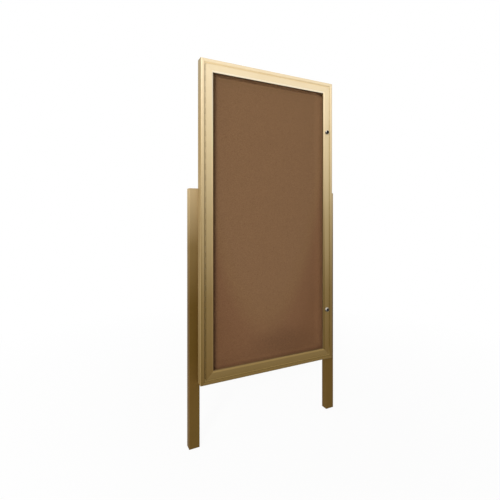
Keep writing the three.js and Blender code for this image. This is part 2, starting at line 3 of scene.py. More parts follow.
import bmesh
import bpy
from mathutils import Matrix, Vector


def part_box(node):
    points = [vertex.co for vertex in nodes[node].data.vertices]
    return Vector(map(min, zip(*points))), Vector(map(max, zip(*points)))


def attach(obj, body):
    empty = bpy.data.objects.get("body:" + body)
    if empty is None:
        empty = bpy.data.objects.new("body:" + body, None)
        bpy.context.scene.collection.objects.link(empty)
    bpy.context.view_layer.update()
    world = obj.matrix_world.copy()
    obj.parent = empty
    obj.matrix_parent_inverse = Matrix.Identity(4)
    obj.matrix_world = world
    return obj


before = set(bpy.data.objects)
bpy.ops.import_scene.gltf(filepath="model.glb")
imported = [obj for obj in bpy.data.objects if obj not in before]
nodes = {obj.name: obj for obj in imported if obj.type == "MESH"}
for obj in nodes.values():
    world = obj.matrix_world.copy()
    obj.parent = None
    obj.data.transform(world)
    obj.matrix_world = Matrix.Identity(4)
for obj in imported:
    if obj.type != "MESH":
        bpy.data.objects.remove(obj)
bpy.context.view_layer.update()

scene = bpy.context.scene
print("frame loaded:", len(nodes), "nodes")

# The camera stands left of the board at chest height and looks level, which keeps the posts upright

camera = {
    "place": (-0.8844, -1.6142, 1.0935),
    "turn": 25.968,  # degrees to the right of straight ahead
    "lens": 25.203,
    "sensor": 36,
    "shiftUp": -0.06785,
    "nearest": 0.02,
}


def addCamera():
    data = bpy.data.cameras.new("photoCamera")
    data.sensor_width = camera["sensor"]
    data.lens = camera["lens"]
    data.shift_y = camera["shiftUp"]
    data.clip_start = camera["nearest"]
    eye = bpy.data.objects.new("photoCamera", data)
    eye.location = camera["place"]
    eye.rotation_euler = (math.pi / 2, 0, -math.radians(camera["turn"]))
    scene.collection.objects.link(eye)
    scene.camera = eye


addCamera()
print("camera placed")

# Short calls for the node trees of the light and of the finishes


def mathNode(tree, operation, first, second=None):
    step = tree.nodes.new("ShaderNodeMath")
    step.operation = operation
    for socket, value in zip(step.inputs, (first, second)):
        if isinstance(value, (int, float)):
            socket.default_value = value
        elif value is not None:
            tree.links.new(value, socket)
    return step.outputs[0]


def vectorNode(tree, operation, first, second=None):
    step = tree.nodes.new("ShaderNodeVectorMath")
    step.operation = operation
    tree.links.new(first, step.inputs[0])
    if isinstance(second, tuple):
        step.inputs[1].default_value = second
    elif second is not None:
        tree.links.new(second, step.inputs["Scale" if operation == "SCALE" else 1])
    return step.outputs["Value" if operation in ("LENGTH", "DOT_PRODUCT") else "Vector"]


def separated(tree, vector):
    step = tree.nodes.new("ShaderNodeSeparateXYZ")
    tree.links.new(vector, step.inputs[0])
    return step.outputs


def mapped(tree, value, low, high, newLow=0, newHigh=1, kind="LINEAR"):
    step = tree.nodes.new("ShaderNodeMapRange")
    step.interpolation_type = kind
    for index, number in enumerate((low, high, newLow, newHigh), start=1):
        step.inputs[index].default_value = number
    tree.links.new(value, step.inputs[0])
    return step.outputs[0]


def mixedShader(tree, share, first, second, output):
    mix = tree.nodes.new("ShaderNodeMixShader")
    tree.links.new(share, mix.inputs[0])
    tree.links.new(first.outputs[0], mix.inputs[1])
    tree.links.new(second.outputs[0], mix.inputs[2])
    tree.links.new(mix.outputs[0], output.inputs[0])


def whiteShare(tree, direct=1):
    # how much plain white is seen: directly by the camera, and in full in a gloss or through glass
    path = tree.nodes.new("ShaderNodeLightPath")
    straight = mathNode(tree, "MULTIPLY", path.outputs["Is Camera Ray"], direct)
    mirrored = mathNode(tree, "MAXIMUM", path.outputs["Is Glossy Ray"], path.outputs["Is Transmission Ray"])
    return mathNode(tree, "MAXIMUM", straight, mirrored)


# Light: a soft key high on the left, a weak lamp low at the left side, a small glint for the locks,
# and white all round

surround = {"ambient": 0.52, "ambientTone": (1, 0.995, 0.985, 1), "white": 1.0, "whiteTone": (1, 1, 1, 1)}

keyLamp = {"power": 545, "size": 1.8, "place": (-6.4, -7.1, 4.3), "aim": (0, 0, 1.1), "glossy": False}
sideLamp = {"power": 26, "size": 1.2, "place": (-3.2, -0.35, 0.9), "aim": (-0.4, 0, 0.7), "glossy": False}
glintLamp = {"power": 5, "size": 0.5, "place": (-1.9, -2.2, 2.6), "aim": (0.3, 0, 1.2), "glossy": True}

paleFloor = {
    "half": 9,
    "tone": (0.88, 0.88, 0.87, 1),
    "white": (0.93, 1.0),  # share of plain white that the camera sees, at the feet and further off
    "fade": (0.7, 2.6),  # metres from the middle over which it changes
}


def addLamp(name, lamp):
    data = bpy.data.lights.new(name, "AREA")
    data.energy = lamp["power"]
    data.size = lamp["size"]
    holder = bpy.data.objects.new(name, data)
    holder.location = lamp["place"]
    aim = Vector(lamp["aim"]) - Vector(lamp["place"])
    holder.rotation_euler = aim.to_track_quat("-Z", "Y").to_euler()
    holder.visible_glossy = lamp["glossy"]
    scene.collection.objects.link(holder)


def backgroundNode(tree, tone, strength):
    step = tree.nodes.new("ShaderNodeBackground")
    step.inputs["Color"].default_value = tone
    step.inputs["Strength"].default_value = strength
    return step


def addWorld():
    world = bpy.data.worlds.new("studio")
    world.use_nodes = True
    tree = world.node_tree
    tree.nodes.clear()
    soft = backgroundNode(tree, surround["ambientTone"], surround["ambient"])
    white = backgroundNode(tree, surround["whiteTone"], surround["white"])
    output = tree.nodes.new("ShaderNodeOutputWorld")
    mixedShader(tree, whiteShare(tree), soft, white, output)
    scene.world = world


def addFloor():
    mesh = bpy.data.meshes.new("studioFloor")
    half = paleFloor["half"]
    corners = [(-half, -half, 0), (half, -half, 0), (half, half, 0), (-half, half, 0)]
    mesh.from_pydata(corners, [], [(0, 1, 2, 3)])
    floor = bpy.data.objects.new("studioFloor", mesh)
    scene.collection.objects.link(floor)
    material = bpy.data.materials.new("paleFloor")
    material.use_nodes = True
    tree = material.node_tree
    tree.nodes.clear()
    matt = tree.nodes.new("ShaderNodeBsdfDiffuse")
    matt.inputs["Color"].default_value = paleFloor["tone"]
    white = tree.nodes.new("ShaderNodeEmission")
    white.inputs["Color"].default_value = surround["whiteTone"]
    coords = tree.nodes.new("ShaderNodeTexCoord")
    away = vectorNode(tree, "LENGTH", coords.outputs["Object"])
    # the camera sees the shadow on it, while gloss and glass show it plain white
    direct = mapped(tree, away, *paleFloor["fade"], *paleFloor["white"])
    output = tree.nodes.new("ShaderNodeOutputMaterial")
    mixedShader(tree, whiteShare(tree, direct), matt, white, output)
    mesh.materials.append(material)


scene.view_settings.view_transform = "Standard"
addWorld()
addFloor()
addLamp("keyLamp", keyLamp)
addLamp("sideLamp", sideLamp)
addLamp("glintLamp", glintLamp)
print("studio lit")


def linear(code):
    # a hex colour as the linear numbers that a colour socket takes, by the usual sRGB curve
    parts = [int(code[i:i + 2], 16) / 255 for i in (0, 2, 4)]
    return (*[p / 12.92 if p <= 0.04045 else ((p + 0.055) / 1.055) ** 2.4 for p in parts], 1)


def startMaterial(name):
    material = bpy.data.materials.new(name)
    material.use_nodes = True
    tree = material.node_tree
    tree.nodes.clear()
    shader = tree.nodes.new("ShaderNodeBsdfPrincipled")
    output = tree.nodes.new("ShaderNodeOutputMaterial")
    tree.links.new(shader.outputs[0], output.inputs[0])
    coords = tree.nodes.new("ShaderNodeTexCoord")
    return material, tree, shader, coords


def stretched(tree, coords, stretch, shift=(0, 0, 0)):
    mapping = tree.nodes.new("ShaderNodeMapping")
    mapping.inputs["Scale"].default_value = stretch
    mapping.inputs["Location"].default_value = shift
    tree.links.new(coords.outputs["Object"], mapping.inputs["Vector"])
    return mapping.outputs[0]


def noise(tree, vector, scale, detail=4, roughness=0.6):
    texture = tree.nodes.new("ShaderNodeTexNoise")
    texture.inputs["Scale"].default_value = scale
    texture.inputs["Detail"].default_value = detail
    texture.inputs["Roughness"].default_value = roughness
    tree.links.new(vector, texture.inputs["Vector"])
    return texture.outputs["Fac"]


def ramp(tree, value, stops):
    step = tree.nodes.new("ShaderNodeValToRGB")
    band = step.color_ramp
    while len(band.elements) < len(stops):
        band.elements.new(1)
    for element, (place, code) in zip(band.elements, stops):
        element.position = place
        element.color = linear(code)
    tree.links.new(value, step.inputs[0])
    return step.outputs[0]


def blended(tree, kind, amount, first, second):
    step = tree.nodes.new("ShaderNodeMix")
    step.data_type = "RGBA"
    step.blend_type = kind
    for socket, value in ((step.inputs[0], amount), (step.inputs[6], first), (step.inputs[7], second)):
        if isinstance(value, tuple):
            socket.default_value = value
        else:
            tree.links.new(value, socket)
    return step.outputs[2]


def softCorners(tree, radius):
    step = tree.nodes.new("ShaderNodeBevel")
    step.samples = 4
    step.inputs["Radius"].default_value = radius
    return step.outputs[0]


def bumped(tree, shader, height, strength, distance, normal=None):
    step = tree.nodes.new("ShaderNodeBump")
    step.inputs["Strength"].default_value = strength
    step.inputs["Distance"].default_value = distance
    tree.links.new(height, step.inputs["Height"])
    if normal is not None:
        tree.links.new(normal, step.inputs["Normal"])
    tree.links.new(step.outputs[0], shader.inputs["Normal"])


# Anodised metal with a painted reflection: the tone falls from pale champagne at the top to dark bronze at
# the foot

anodised = {
    "heights": (0.3, 1.85),  # metres above the ground over which the tones are spread
    "front": ((0.0, "725a31"), (0.25, "856e45"), (0.5, "af996f"), (0.75, "dbc69c"), (1.0, "f6e2bc")),
    # painted shade: the edge's tones darken faces turned to the hinge side, most of all low down
    "edge": ((0.0, "624d26"), (0.25, "6b5831"), (0.38, "7f6b45"), (0.5, "98835c"), (0.75, "d5bf96"),
             (1.0, "f9e4be")),
    # painted shade and light: the side's tones are darker than the front near the top, lighter near the
    # foot, and paler just below the posts' tops, against the posts' shadow
    "side": ((0.0, "9a8152"), (0.3, "ab9367"), (0.56, "ae986e"), (0.66, "a0895f"), (0.78, "a28b60"),
             (1.0, "a79879")),
    "roughness": (0.40, 0.50),
    "metallic": 0.4,
    "edgeTint": (0.7, 0.6, 0.42, 1),
    "grain": 900,
}

# the level rails get a calmer painted reflection: less pale at the top, less dark at the foot
levelStops = ((0.0, "796236"), (1.0, "f4e0ba"))
levelTone = dict(anodised, front=levelStops, edge=levelStops)

# the bead in the reveal lies in shade, except its bottom run, which catches the light
beadStops = ((0.02, "907848"), (0.05, "684f1c"), (0.25, "775f2f"), (0.5, "9c8855"), (0.75, "c9b582"),
             (1.0, "f2dcb0"))
beadTone = dict(anodised, front=beadStops, edge=beadStops)

# the posts carry a painted reflection and shade that keep them dark to above their middle, and pale towards
# the top
postStops = ((0.0, "664f26"), (0.24, "684f26"), (0.36, "5f481e"), (0.55, "624b22"), (0.78, "806941"),
             (1.0, "bfa87f"))
postTone = {
    "heights": (0.0, 1.22),
    "front": postStops,
    "edge": postStops,
    "side": postStops,
    "roughness": (0.42, 0.52),
    "metallic": 0.35,
    "edgeTint": (0.42, 0.33, 0.18, 1),
    "grain": 700,
}

# a painted highlight on the bevel round the window
paintedBevelHighlight = {
    "slope": 0.841,  # the front share of the bevel's normal
    "slack": (0.012, 0.03),  # how far from that slope it is still whole, and where it ends
    "turned": (0.3, 0.5),  # how far the surface turns to its side where it sets in, and is whole
    "sides": (("X", 1, 0.6), ("Z", -1, 0.5), ("Z", 1, 0.35)),  # the bevel at the left, top and bottom
}

anodisedSkin = {
    "sideways": (0.8, 0.98),  # how far a surface turns to either side where the side's tones set in
    "hingeward": (-0.12, -0.4),  # the same to the hinge side, for the edge's tones
    "palest": (1.0, 0.88, 0.66),
    "alongShare": 0.012,  # how much coarser the grain runs along the length
    "lineDetail": 2,
    "lineRoughness": 0.5,
    "lineAmount": (0.35, 0.7, 0, 0.10),  # noise from and to, and the amount at each
    "lineTint": (0.78, 0.76, 0.70, 1),
    "lineBump": (0.10, 0.0002),
    "cloudScale": 9,
    "cloudAmount": (0.45, 0.75, 0, 0.10),
    "cloudTint": (0.86, 0.82, 0.74, 1),
    "cloudRange": (0.3, 0.7),
    "refraction": 1.2,
    "cornerRadius": 0.0012,
}


def bevelHighlight(tree, facing):
    # a painted highlight on the bevel round the window, at its left, top and bottom
    forward = mathNode(tree, "ABSOLUTE", facing["Y"])
    off = mathNode(tree, "ABSOLUTE", mathNode(tree, "SUBTRACT", forward, paintedBevelHighlight["slope"]))
    onBevel = mapped(tree, off, *paintedBevelHighlight["slack"], 1, 0)
    setIn, whole = paintedBevelHighlight["turned"]
    total = 0
    for axis, way, amount in paintedBevelHighlight["sides"]:
        share = mapped(tree, facing[axis], way * setIn, way * whole, 0, amount)
        total = mathNode(tree, "ADD", total, share)
    return mathNode(tree, "MULTIPLY", onBevel, total)


# shade, when below 1, darkens the whole tone as painted shade
def anodisedMetal(name, tone, along, shade=1.0):
    skin = anodisedSkin
    material, tree, shader, coords = startMaterial(name)
    height = mapped(tree, separated(tree, coords.outputs["Object"])["Z"], *tone["heights"])
    facing = separated(tree, coords.outputs["Normal"])
    # faces turned to either side take the side's painted tones, and faces turned to the hinge side the
    # edge's painted shade
    onSide = mapped(tree, mathNode(tree, "ABSOLUTE", facing["X"]), *skin["sideways"])
    onEdge = mapped(tree, facing["X"], *skin["hingeward"])
    front, edge, side = [ramp(tree, height, tone[part]) for part in ("front", "edge", "side")]
    colour = blended(tree, "MIX", onEdge, front, edge)
    colour = blended(tree, "MIX", onSide, colour, side)
    # the bevel's painted highlight is added to the shade factor, and together they scale the tone
    colour = vectorNode(tree, "SCALE", colour, mathNode(tree, "ADD", bevelHighlight(tree, facing), shade))
    colour = vectorNode(tree, "MINIMUM", colour, skin["palest"])
    # long fine lines from the die, and broad faint clouds from handling
    stretch = [skin["alongShare"] if axis == along else 1 for axis in "XYZ"]
    lines = noise(tree, stretched(tree, coords, stretch), tone["grain"], skin["lineDetail"],
                  skin["lineRoughness"])
    clouds = noise(tree, coords.outputs["Object"], skin["cloudScale"])
    colour = blended(tree, "MULTIPLY", mapped(tree, lines, *skin["lineAmount"]), colour, skin["lineTint"])
    colour = blended(tree, "MULTIPLY", mapped(tree, clouds, *skin["cloudAmount"]), colour, skin["cloudTint"])
    tree.links.new(colour, shader.inputs["Base Color"])
    roughness = mapped(tree, clouds, *skin["cloudRange"], *tone["roughness"])
    tree.links.new(roughness, shader.inputs["Roughness"])
    shader.inputs["Metallic"].default_value = tone["metallic"]
    shader.inputs["IOR"].default_value = skin["refraction"]
    shader.inputs["Specular Tint"].default_value = tone["edgeTint"]
    bumped(tree, shader, lines, *skin["lineBump"], softCorners(tree, skin["cornerRadius"]))
    return material


# Plain metals: screws and pins, brackets and corner keys, the lock plugs and the back panel

plainFinishes = {
    "plugMetal": {
        "colour": "2c2926", "dark": "171513", "metallic": 0.8, "roughness": (0.3, 0.45), "scale": 500,
    },
    "plainSteel": {
        "colour": "a9abad", "dark": "808284", "metallic": 1.0, "roughness": (0.25, 0.42), "scale": 380,
    },
    "millAluminium": {
        "colour": "a4a6a8", "dark": "83868a", "metallic": 0.95, "roughness": (0.35, 0.55), "scale": 160,
    },
    "panelSheet": {
        "colour": "a8997a", "dark": "8e8064", "metallic": 0.8, "roughness": (0.4, 0.55), "scale": 60,
    },
}

plainGrain = {
    "broader": 25,  # how many times larger the broad patches are than the fine ones
    "broadDetail": 3,
    "broadRoughness": 0.5,
    "fineAmount": (0.4, 0.8, 0, 0.5),
    "broadAmount": (0.45, 0.8, 0, 0.35),
    "broadRange": (0.3, 0.7),
    "cornerRadius": 0.0008,
    "bump": (0.08, 0.0001),
}


def plainMetal(name):
    finish, grain = plainFinishes[name], plainGrain
    material, tree, shader, coords = startMaterial(name)
    fine = noise(tree, coords.outputs["Object"], finish["scale"])
    broad = noise(tree, coords.outputs["Object"], finish["scale"] / grain["broader"],
                  grain["broadDetail"], grain["broadRoughness"])
    bright, dark = linear(finish["colour"]), linear(finish["dark"])
    colour = blended(tree, "MIX", mapped(tree, fine, *grain["fineAmount"]), bright, dark)
    colour = blended(tree, "MIX", mapped(tree, broad, *grain["broadAmount"]), colour, dark)
    tree.links.new(colour, shader.inputs["Base Color"])
    roughness = mapped(tree, broad, *grain["broadRange"], *finish["roughness"])
    tree.links.new(roughness, shader.inputs["Roughness"])
    shader.inputs["Metallic"].default_value = finish["metallic"]
    bumped(tree, shader, fine, *grain["bump"], softCorners(tree, grain["cornerRadius"]))
    return material


# Lock heads: plating with a painted reflection, bright towards the upper left and dark underneath, and
# painted shade inside the rim

lockLook = {
    "paintedLightWay": (-0.42, -0.2, 0.88),
    "tones": ((0.15, "33302c"), (0.52, "5f5b55"), (0.76, "d8d3cc"), (0.92, "fbf8f3")),
    "inside": "2f2c29",
    "axisX": 0.3407,
    "axisZ": (1.555, 0.579),
    "rim": (0.0084, 0.0088),  # radii between which the inside ends
    "metallic": 0.7,
    "roughness": (0.12, 0.24),
    "scratchScale": 420,
    "scratchAmount": (0.5, 0.8, 0, 0.3),
    "scratchTint": (0.8, 0.79, 0.77, 1),
    "scratchRange": (0.3, 0.7),
    "bump": (0.05, 0.0001),
}


def chromeMaterial():
    material, tree, shader, coords = startMaterial("lockChrome")
    # painted reflection: faces turned up and to the left are bright, those turned down dark
    lit = vectorNode(tree, "DOT_PRODUCT", coords.outputs["Normal"], lockLook["paintedLightWay"])
    tone = ramp(tree, mapped(tree, lit, -1, 1), lockLook["tones"])
    place = separated(tree, coords.outputs["Object"])
    across = mathNode(tree, "SUBTRACT", place["X"], lockLook["axisX"])
    # the height is measured from the nearer of the two locks
    heights = []
    for z in lockLook["axisZ"]:
        heights.append(mathNode(tree, "ABSOLUTE", mathNode(tree, "SUBTRACT", place["Z"], z)))
    up = mathNode(tree, "MINIMUM", *heights)
    squares = mathNode(tree, "ADD", mathNode(tree, "POWER", across, 2), mathNode(tree, "POWER", up, 2))
    # painted shade inside the rim of each lock
    inside = mapped(tree, mathNode(tree, "SQRT", squares), *lockLook["rim"], 1, 0)
    tone = blended(tree, "MIX", inside, tone, linear(lockLook["inside"]))
    scratches = noise(tree, coords.outputs["Object"], lockLook["scratchScale"])
    scratched = mapped(tree, scratches, *lockLook["scratchAmount"])
    tone = blended(tree, "MULTIPLY", scratched, tone, lockLook["scratchTint"])
    tree.links.new(tone, shader.inputs["Base Color"])
    roughness = mapped(tree, scratches, *lockLook["scratchRange"], *lockLook["roughness"])
    tree.links.new(roughness, shader.inputs["Roughness"])
    shader.inputs["Metallic"].default_value = lockLook["metallic"]
    bumped(tree, shader, scratches, *lockLook["bump"])
    return material


# Cork: fine pressed granules, pale in a zone that narrows downwards, darker and redder round its foot

corkLook = {
    "middle": (-0.02, 2.1),  # x and z of the pale zone's middle, which lies above the board
    "spread": (0.346, 1.368),  # metres to the side and up and down over which it changes
    "tones": ((0.51, "7d5d42"), (0.61, "7c5c40"), (0.73, "76543b"), (0.95, "725037")),
    # painted light against the frame's shade, by axis, place from and to, and the change of tone at each: by
    # the locks, at the top, at the foot
    "paintedLightByFrame": (("X", 0.268, 0.325, 0, 0.28), ("Z", 1.750, 1.766, 0, 0.45), ("Z", 0.392, 0.376, 0, 0.2)),
    "paintedShadeByHinge": (-0.284, -0.300, 0, -0.25),  # the same by the hinge, along X
    "patch": (0.08, 0.44),  # x and z of a soft dark patch low on the board
    "patchSpread": (0.28, 0.11),
    "patchDepth": 0.18,
    "granuleScale": 340,
    "granules": (0.9, 1.1),  # the darkest and the lightest granule
    "granuleBump": (0.2, 0.0004),
    "speck": "432d1c",
    "speckScale": 150,
    "speckRoughness": 0.65,
    "speckAmount": (0.62, 0.74, 0, 0.5),
    "roughness": 0.9,
    "specular": 0.08,
}


def wayFrom(tree, coords, middle, spread):
    # how far off the middle a point lies, as shares of the spread to the side and up and down
    (x, z), (wide, tall) = middle, spread
    return stretched(tree, coords, (1 / wide, 0, 1 / tall), (-x / wide, 0, -z / tall))


def corkMaterial():
    material, tree, shader, coords = startMaterial("pressedCork")
    around = wayFrom(tree, coords, corkLook["middle"], corkLook["spread"])
    away = vectorNode(tree, "DOT_PRODUCT", around, around)
    tone = ramp(tree, mathNode(tree, "MULTIPLY", away, 0.5), corkLook["tones"])
    grains = tree.nodes.new("ShaderNodeTexVoronoi")
    grains.inputs["Scale"].default_value = corkLook["granuleScale"]
    tree.links.new(coords.outputs["Object"], grains.inputs["Vector"])
    grey = tree.nodes.new("ShaderNodeSeparateColor")
    tree.links.new(grains.outputs["Color"], grey.inputs[0])
    # painted light offsets the frame's shade by the locks, at the top and at the foot, and painted shade
    # darkens it by the hinge
    place = separated(tree, coords.outputs["Object"])
    pale = 0
    for axis, *span in corkLook["paintedLightByFrame"]:
        pale = mathNode(tree, "MAXIMUM", pale, mapped(tree, place[axis], *span))
    tint = mathNode(tree, "ADD", pale, mapped(tree, place["X"], *corkLook["paintedShadeByHinge"]))
    offPatch = vectorNode(tree, "LENGTH", wayFrom(tree, coords, corkLook["patch"], corkLook["patchSpread"]))
    patch = mapped(tree, offPatch, 0, 1, -corkLook["patchDepth"], 0, "SMOOTHSTEP")
    tint = mathNode(tree, "ADD", tint, patch)
    strength = mathNode(tree, "ADD", mapped(tree, grey.outputs[0], 0, 1, *corkLook["granules"]), tint)
    tone = vectorNode(tree, "SCALE", tone, strength)
    specks = noise(tree, coords.outputs["Object"], corkLook["speckScale"], 4, corkLook["speckRoughness"])
    specked = mapped(tree, specks, *corkLook["speckAmount"])
    tone = blended(tree, "MIX", specked, tone, linear(corkLook["speck"]))
    tree.links.new(tone, shader.inputs["Base Color"])
    shader.inputs["Roughness"].default_value = corkLook["roughness"]
    shader.inputs["Specular IOR Level"].default_value = corkLook["specular"]
    bumped(tree, shader, grains.outputs["Distance"], *corkLook["granuleBump"])
    return material


fibreLook = {
    "stretch": (1, 1, 6),
    "scale": 240,
    "detail": 5,
    "hairRoughness": 0.7,
    "tones": ((0.3, "54442f"), (0.7, "7b6850")),
    "roughness": 0.95,
    "bump": (0.4, 0.0005),
}


def fibreMaterial():
    material, tree, shader, coords = startMaterial("rawFibreboard")
    hairs = noise(tree, stretched(tree, coords, fibreLook["stretch"]), fibreLook["scale"],
                  fibreLook["detail"], fibreLook["hairRoughness"])
    tree.links.new(ramp(tree, hairs, fibreLook["tones"]), shader.inputs["Base Color"])
    shader.inputs["Roughness"].default_value = fibreLook["roughness"]
    bumped(tree, shader, hairs, *fibreLook["bump"])
    return material


# Rubber: the seal and the glazing line are dusty, less so by the locks and not at all under the top rail,
# where the rubber is left dark as painted shade

rubberLook = {
    "tones": ((0.35, "15120f"), (0.75, "2b2621")),
    "dust": "7a6240",
    "dustAndShadeAcross": (-0.3, 0.3, 0.95, 0.62),  # x from and to, and the share of dust at each
    "dustAndShadeUp": (1.762, 1.768, 1, 0),  # the same along z
    "bloomScale": 70,
    "bloomRange": (0.3, 0.7),
    "roughness": (0.6, 0.85),
    "refraction": 1.2,
    "bump": (0.2, 0.0004),
}


def rubberMaterial():
    material, tree, shader, coords = startMaterial("blackRubber")
    bloom = noise(tree, coords.outputs["Object"], rubberLook["bloomScale"])
    place = separated(tree, coords.outputs["Object"])
    across = mapped(tree, place["X"], *rubberLook["dustAndShadeAcross"])
    up = mapped(tree, place["Z"], *rubberLook["dustAndShadeUp"])
    # less dust leaves the rubber darker, as painted shade by the locks and under the top rail
    dust = mathNode(tree, "MULTIPLY", across, up)
    colour = blended(tree, "MIX", dust, ramp(tree, bloom, rubberLook["tones"]), linear(rubberLook["dust"]))
    tree.links.new(colour, shader.inputs["Base Color"])
    roughness = mapped(tree, bloom, *rubberLook["bloomRange"], *rubberLook["roughness"])
    tree.links.new(roughness, shader.inputs["Roughness"])
    shader.inputs["IOR"].default_value = rubberLook["refraction"]
    bumped(tree, shader, bloom, *rubberLook["bump"])
    return material


# The pane is plainly clear when seen face on, and shows its gloss at a slant

paneLook = {
    "clear": (0.985, 0.992, 0.99, 1),
    "gloss": (0.93, 0.95, 0.95, 1),
    "roughness": (0.0, 0.04),
    "smearScale": 7,
    "smearRoughness": 0.55,
    "smearRange": (0.5, 0.8),
    "slant": (0.3, 1.0),  # from which slant the gloss sets in, and where it is whole
    "rise": 2.5,
}


def paneMaterial():
    material, tree, shader, coords = startMaterial("clearPane")
    shader.inputs["Base Color"].default_value = paneLook["gloss"]
    shader.inputs["Metallic"].default_value = 1
    smears = noise(tree, coords.outputs["Object"], paneLook["smearScale"], 4, paneLook["smearRoughness"])
    roughness = mapped(tree, smears, *paneLook["smearRange"], *paneLook["roughness"])
    tree.links.new(roughness, shader.inputs["Roughness"])
    # lamps and soft light pass straight through it to the board
    path = tree.nodes.new("ShaderNodeLightPath")
    soft = mathNode(tree, "MAXIMUM", path.outputs["Is Shadow Ray"], path.outputs["Is Diffuse Ray"])
    slant = tree.nodes.new("ShaderNodeLayerWeight")
    slant.inputs["Blend"].default_value = 0.5
    rising = mapped(tree, slant.outputs["Facing"], *paneLook["slant"])
    glossy = mathNode(tree, "POWER", rising, paneLook["rise"])
    share = mathNode(tree, "MULTIPLY", glossy, mathNode(tree, "SUBTRACT", 1, soft))
    through = tree.nodes.new("ShaderNodeBsdfTransparent")
    through.inputs["Color"].default_value = paneLook["clear"]
    output = next(n for n in tree.nodes if n.type == "OUTPUT_MATERIAL")
    mixedShader(tree, share, through, shader, output)
    return material


upright = anodisedMetal("champagneUpright", anodised, "Z")
level = anodisedMetal("champagneLevel", levelTone, "X")
postMetal = anodisedMetal("bronzePost", postTone, "Z")
# the hinge sits in the reveal, so its tone gets a painted shade of 0.85
hingeMetal = anodisedMetal("champagneHinge", anodised, "Z", 0.85)
revealMetal = anodisedMetal("champagneReveal", beadTone, "X")
plain = {name: plainMetal(name) for name in plainFinishes}
chrome = chromeMaterial()
cork = corkMaterial()
fibre = fibreMaterial()
rubber = rubberMaterial()
pane = paneMaterial()

singleFinishes = {
    "cork_sheet": cork,
    "backer_board": fibre,
    "back_panel": plain["panelSheet"],
    "window_pane": pane,
}


def finishFor(node):
    if node in singleFinishes:
        return singleFinishes[node]
    if node in ("left_post", "right_post") or node.endswith("_post_cap"):
        return postMetal
    if "corner_key" in node or node.endswith("_bracket"):
        return plain["millAluminium"]
    if node.startswith(("door_seal", "glazing_gasket")):
        return rubber
    if node in ("hinge_case_leaf", "hinge_door_leaf"):
        return hingeMetal
    if node.endswith("_lock_housing"):
        return chrome
    if node.endswith("_lock_plug"):
        return plain["plugMetal"]
    if node.endswith(("top_rail", "bottom_rail")):
        return level
    if node.endswith(("jamb", "stile")):
        return upright
    return plain["plainSteel"]


for name, piece in nodes.items():
    piece.data.materials.clear()
    piece.data.materials.append(finishFor(name))
print("finishes on", len(nodes), "nodes")

# A slim bead fills the gap between the case and the door at the top, the lock side and the bottom

revealBead = {
    "width": 0.0054,
    "depth": 0.0070,
    "crest": 0.0013,  # how far its crest lies behind the door's face
    "clearance": 0.0002,  # between the bead and the door
    "hingeGap": 0.0005,
    "outline": ((0, 0.16), (0.14, 0.05), (0.36, 0), (0.6, 0.03), (0.82, 0.15), (0.96, 0.36), (1, 0.6),
                (0.93, 0.82), (0.7, 0.96), (0.4, 1), (0, 0.98)),  # shares of the width and the depth
}


def sweptRun(name, section, path):
    # a closed section of (inwards, back) carried along a path of (x, z) corners, mitred at each corner
    shape = bmesh.new()
    rings = []
    last = len(path) - 1
    for i, corner in enumerate(path):
        here = Vector(corner)
        ahead = (Vector(path[i + 1]) - here).normalized() if i < last else None
        behind = (here - Vector(path[i - 1])).normalized() if i > 0 else None
        inwards = [Vector((-way.y, way.x)) for way in (behind, ahead) if way is not None]
        mean = sum(inwards, Vector((0, 0))).normalized()
        reach = 1 / mean.dot(inwards[0])
        rings.append([shape.verts.new((here.x + mean.x * reach * u, v, here.y + mean.y * reach * u))
                      for u, v in section])
    count = len(section)
    for first, second in zip(rings, rings[1:]):
        for i in range(count):
            j = (i + 1) % count
            shape.faces.new((first[i], first[j], second[j], second[i]))
    shape.faces.new(rings[0])
    shape.faces.new(list(reversed(rings[-1])))
    bmesh.ops.recalc_face_normals(shape, faces=shape.faces)
    mesh = bpy.data.meshes.new(name)
    shape.to_mesh(mesh)
    shape.free()
    return mesh


def addRevealBead():
    doorLow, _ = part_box("door_hinge_stile")
    hingeLow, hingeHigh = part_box("hinge_case_leaf")
    _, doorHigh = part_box("door_lock_stile")
    gap = revealBead["width"] + revealBead["clearance"]
    front = doorLow.y + revealBead["crest"]
    section = [(u * revealBead["width"], front + v * revealBead["depth"]) for u, v in revealBead["outline"]]
    left, right, top, foot = doorLow.x - gap, doorHigh.x + gap, doorHigh.z + gap, doorLow.z - gap
    lowEnd, highEnd = hingeLow.z - revealBead["hingeGap"], hingeHigh.z + revealBead["hingeGap"]
    route = [(left, lowEnd), (left, foot), (right, foot), (right, top), (left, top), (left, highEnd)]
    mesh = sweptRun("revealBead", section, route)
    mesh.materials.append(revealMetal)
    for face in mesh.polygons:
        face.use_smooth = True
    piece = bpy.data.objects.new("revealBead", mesh)
    scene.collection.objects.link(piece)
    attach(piece, "case")


addRevealBead()
print("reveal bead laid")

# Repeated fasteners: one small head, set out along lines by a node tree

rivet = {
    "radius": 0.0036,
    "height": 0.0014,
    "sides": 16,
    "pitch": 0.24,
    "inset": 0.030,  # from the edge of the back panel to the rows
    "cornerGap": 0.16,  # between a corner rivet and the first one of an upright row
}
hingeScrew = {
    "radius": 0.0026,
    "height": 0.0009,
    "sides": 14,
    "pitch": 0.122,
    "leaf": 0.001,  # thickness of the leaf that the heads stand on
    "inset": 0.0036,  # from the back edge of the leaf
    "endGap": 0.06,
}

# rings from the foot over the dome and into the dimple, as shares of the radius and the height
headRings = ((1, 0), (0.97, 0.35), (0.8, 0.75), (0.5, 1), (0.3, 1), (0.27, 0.55))


